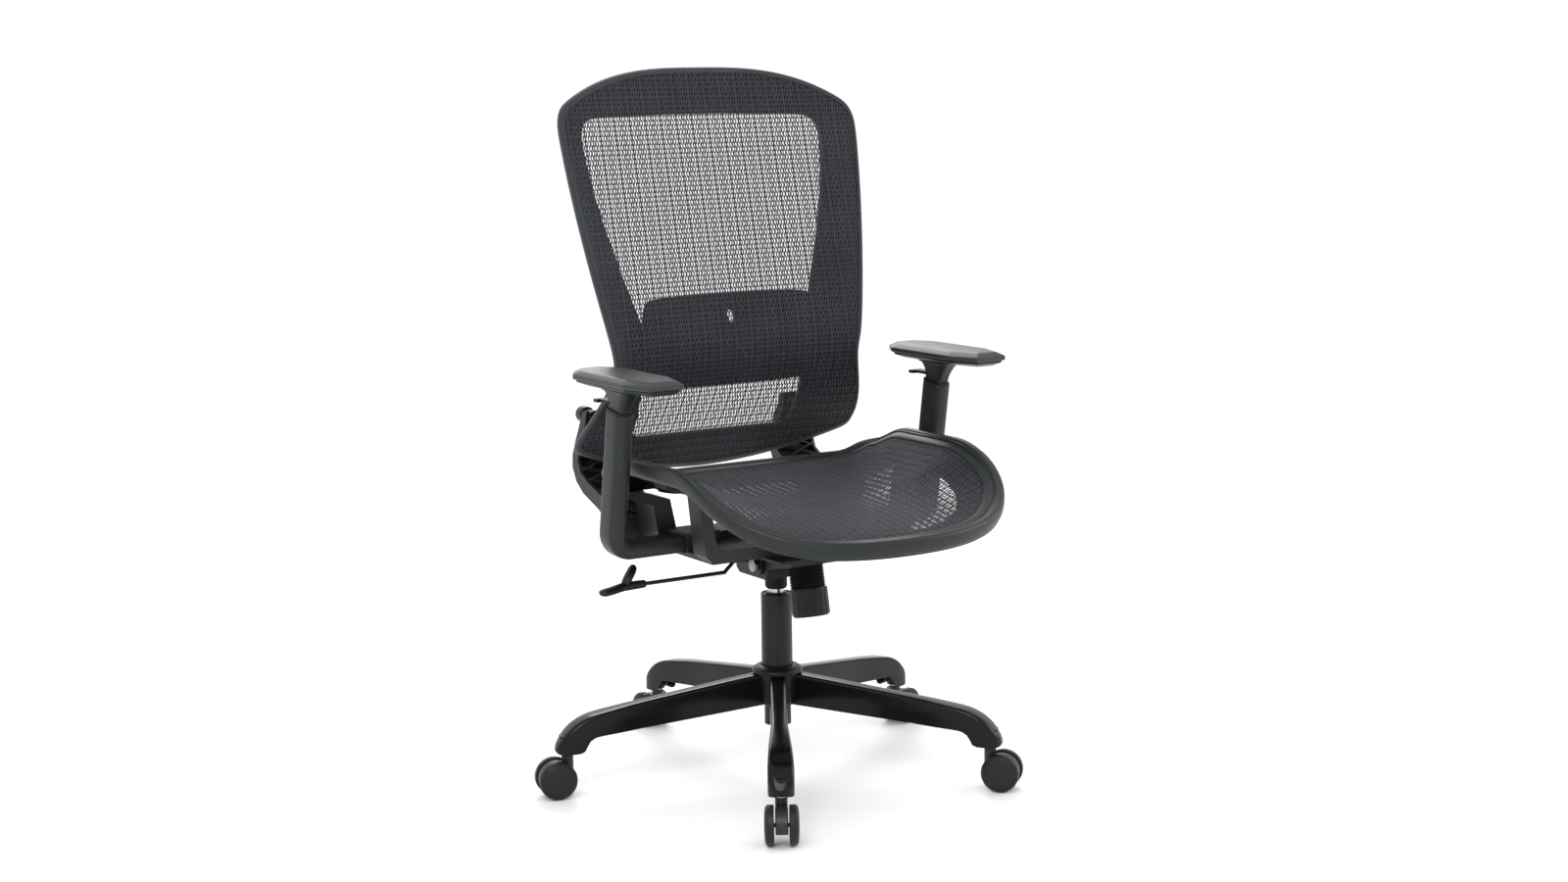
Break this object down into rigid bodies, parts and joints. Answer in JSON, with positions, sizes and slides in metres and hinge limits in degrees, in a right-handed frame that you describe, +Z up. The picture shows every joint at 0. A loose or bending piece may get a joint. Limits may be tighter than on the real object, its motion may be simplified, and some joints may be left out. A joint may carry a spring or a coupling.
{
  "type": "swivel office chair",
  "caption": "Swivel office chair with a star base on casters, gas lift, tilting mesh seat and back, lumbar pad and adjustable arms.",
  "frame": {"origin": "on the floor under the column's axis", "axes": "+Z up along the column; the chair faces -Y; +X is to the right of someone looking at the chair from the front, which is the sitter's left"},
  "size_m": [0.7695, 0.7874, 1.131],
  "materials": {
    "gloss_black": "gloss black enamel on pressed steel",
    "satin_black": "satin black powder coat",
    "black_plastic": "fine-grained black nylon",
    "dark_plastic": "satin charcoal nylon",
    "caster_black": "fine-grained dark nylon",
    "caster_grey": "satin dark nylon",
    "rubber_black": "matt black rubber",
    "pad_soft": "soft satin polyurethane skin",
    "mesh_fabric": "open-woven elastic mesh",
    "steel": "zinc-plated steel",
    "chrome": "polished chrome"
  },
  "bodies": {
    "base": {"base_star": "gloss_black", "hub_collar": "black_plastic", "outer_tube": "satin_black", "guide_bush": "black_plastic", "thrust_bearing": "steel", "caster_stem_1": "steel", "caster_stem_2": "steel", "caster_stem_3": "steel", "caster_stem_4": "steel", "caster_stem_5": "steel"},
    "spindle": {"piston_rod": "steel", "retaining_clip": "steel"},
    "mechanism": {"gas_cylinder": "chrome", "mechanism_housing": "satin_black", "column_boot": "rubber_black", "tilt_shaft": "steel", "tension_bolt": "steel", "tension_spring": "steel", "spring_boot": "rubber_black"},
    "tension_knob": {"tension_knob": "black_plastic"},
    "tilt_lock": {"lock_bush": "black_plastic"},
    "lever": {"lever_rod": "satin_black", "lever_grip": "black_plastic"},
    "release_pin": {"release_pin": "steel"},
    "seat_unit": {"seat_plate": "satin_black", "seat_tray": "dark_plastic", "seat_rim": "dark_plastic", "seat_mesh": "mesh_fabric", "arm_bracket_left": "dark_plastic", "arm_bracket_right": "dark_plastic", "arm_sleeve_left": "black_plastic", "arm_sleeve_right": "black_plastic", "arm_bolts": "steel", "back_arm_left": "dark_plastic", "back_arm_right": "dark_plastic", "back_bolts": "steel", "back_screws": "steel", "back_frame": "black_plastic", "back_mesh": "mesh_fabric"},
    "lumbar": {"lumbar_pad": "black_plastic"},
    "arm_left": {"arm_post_left": "dark_plastic"},
    "trigger_left": {"arm_trigger_left": "black_plastic"},
    "arm_turner_left": {"arm_plate_left": "black_plastic"},
    "arm_rest_left": {"arm_pad_left": "pad_soft"},
    "lumbar_knob_left": {"lumbar_knob_left": "dark_plastic"},
    "arm_right": {"arm_post_right": "dark_plastic"},
    "trigger_right": {"arm_trigger_right": "black_plastic"},
    "arm_turner_right": {"arm_plate_right": "black_plastic"},
    "arm_rest_right": {"arm_pad_right": "pad_soft"},
    "lumbar_knob_right": {"lumbar_knob_right": "dark_plastic"},
    "caster_1": {"caster_hood_1": "caster_grey"},
    "wheels_1": {"caster_wheels_1": "caster_black"},
    "caster_2": {"caster_hood_2": "caster_grey"},
    "wheels_2": {"caster_wheels_2": "caster_black"},
    "caster_3": {"caster_hood_3": "caster_grey"},
    "wheels_3": {"caster_wheels_3": "caster_black"},
    "caster_4": {"caster_hood_4": "caster_grey"},
    "wheels_4": {"caster_wheels_4": "caster_black"},
    "caster_5": {"caster_hood_5": "caster_grey"},
    "wheels_5": {"caster_wheels_5": "caster_black"}
  },
  "joints": [
    {"name": "seat_swivel", "type": "hinge", "parent": "base", "child": "spindle", "pos_m": [0, 0, 0.09], "axis": [0, 0, 1], "continuous": true},
    {"name": "seat_height", "type": "slide", "parent": "spindle", "child": "mechanism", "axis": [0, 0, 1], "range_m": [0, 0.09]},
    {"name": "seat_tilt", "type": "hinge", "parent": "mechanism", "child": "seat_unit", "pos_m": [0, -0.03, 0.354], "axis": [-1, 0, 0], "range_deg": [0, 14], "stiffness_Nm_per_rad": 150, "springref_deg": -17.19},
    {"name": "tension_turn", "type": "hinge", "parent": "mechanism", "child": "tension_knob", "pos_m": [0, -0.088, 0.357], "axis": [0, -0.1994, -0.9799], "continuous": true},
    {"name": "lock_pull", "type": "slide", "parent": "mechanism", "child": "tilt_lock", "axis": [-1, 0, 0], "range_m": [0, 0.012]},
    {"name": "lever_lift", "type": "hinge", "parent": "tilt_lock", "child": "lever", "pos_m": [-0.0435, 0, 0.358], "axis": [0, 1, 0], "range_deg": [0, 2.5], "stiffness_Nm_per_rad": 6, "springref_deg": -4.58},
    {"name": "pin_press", "type": "slide", "parent": "mechanism", "child": "release_pin", "axis": [0, 0, -1], "range_m": [0, 0.00225]},
    {"name": "lumbar_slide", "type": "slide", "parent": "seat_unit", "child": "lumbar", "axis": [0, 0, 1], "range_m": [-0.015, 0.015]},
    {"name": "arm_lift_left", "type": "slide", "parent": "seat_unit", "child": "arm_left", "axis": [0, -0.165, 0.9863], "range_m": [0, 0.07]},
    {"name": "trigger_pull_left", "type": "hinge", "parent": "arm_left", "child": "trigger_left", "pos_m": [-0.294, -0.01799, 0.632], "axis": [1, 0, 0], "range_deg": [0, 12], "stiffness_Nm_per_rad": 0.2, "springref_deg": -5.73},
    {"name": "arm_turn_left", "type": "hinge", "parent": "arm_left", "child": "arm_turner_left", "pos_m": [-0.294, -0.042, 0.656], "axis": [0, 0, 1], "range_deg": [-20, 20]},
    {"name": "rest_slide_left", "type": "slide", "parent": "arm_turner_left", "child": "arm_rest_left", "axis": [0, 1, 0], "range_m": [-0.025, 0.025]},
    {"name": "lumbar_turn_left", "type": "hinge", "parent": "seat_unit", "child": "lumbar_knob_left", "pos_m": [-0.213, 0.23, 0.578], "axis": [0, 1, 0], "range_deg": [-90, 90]},
    {"name": "arm_lift_right", "type": "slide", "parent": "seat_unit", "child": "arm_right", "axis": [0, -0.165, 0.9863], "range_m": [0, 0.07]},
    {"name": "trigger_pull_right", "type": "hinge", "parent": "arm_right", "child": "trigger_right", "pos_m": [0.294, -0.01799, 0.632], "axis": [1, 0, 0], "range_deg": [0, 12], "stiffness_Nm_per_rad": 0.2, "springref_deg": -5.73},
    {"name": "arm_turn_right", "type": "hinge", "parent": "arm_right", "child": "arm_turner_right", "pos_m": [0.294, -0.042, 0.656], "axis": [0, 0, 1], "range_deg": [-20, 20]},
    {"name": "rest_slide_right", "type": "slide", "parent": "arm_turner_right", "child": "arm_rest_right", "axis": [0, 1, 0], "range_m": [-0.025, 0.025]},
    {"name": "lumbar_turn_right", "type": "hinge", "parent": "seat_unit", "child": "lumbar_knob_right", "pos_m": [0.213, 0.23, 0.578], "axis": [0, 1, 0], "range_deg": [-90, 90]},
    {"name": "caster_swivel_1", "type": "hinge", "parent": "base", "child": "caster_1", "pos_m": [-0.18235, -0.29874, 0.06], "axis": [0, 0, 1], "continuous": true},
    {"name": "wheel_roll_1", "type": "hinge", "parent": "caster_1", "child": "wheels_1", "pos_m": [-0.19225, -0.31496, 0.03], "axis": [0.8536, -0.521, 0], "continuous": true},
    {"name": "caster_swivel_2", "type": "hinge", "parent": "base", "child": "caster_2", "pos_m": [0.22777, -0.26575, 0.06], "axis": [0, 0, 1], "continuous": true},
    {"name": "wheel_roll_2", "type": "hinge", "parent": "caster_2", "child": "wheels_2", "pos_m": [0.24014, -0.28017, 0.03], "axis": [0.7593, 0.6508, 0], "continuous": true},
    {"name": "caster_swivel_3", "type": "hinge", "parent": "base", "child": "caster_3", "pos_m": [0.32312, 0.1345, 0.06], "axis": [0, 0, 1], "continuous": true},
    {"name": "wheel_roll_3", "type": "hinge", "parent": "caster_3", "child": "wheels_3", "pos_m": [0.34066, 0.1418, 0.03], "axis": [-0.3843, 0.9232, 0], "continuous": true},
    {"name": "caster_swivel_4", "type": "hinge", "parent": "base", "child": "caster_4", "pos_m": [-0.02807, 0.34887, 0.06], "axis": [0, 0, 1], "continuous": true},
    {"name": "wheel_roll_4", "type": "hinge", "parent": "caster_4", "child": "wheels_4", "pos_m": [-0.02959, 0.36781, 0.03], "axis": [-0.9968, -0.0802, 0], "continuous": true},
    {"name": "caster_swivel_5", "type": "hinge", "parent": "base", "child": "caster_5", "pos_m": [-0.34047, 0.08111, 0.06], "axis": [0, 0, 1], "continuous": true},
    {"name": "wheel_roll_5", "type": "hinge", "parent": "caster_5", "child": "wheels_5", "pos_m": [-0.35895, 0.08551, 0.03], "axis": [-0.2317, -0.9728, 0], "continuous": true}
  ],
  "couplings": [
    {"joint": "pin_press", "follows": "lever_lift", "m_per_rad": 0.05}
  ]
}
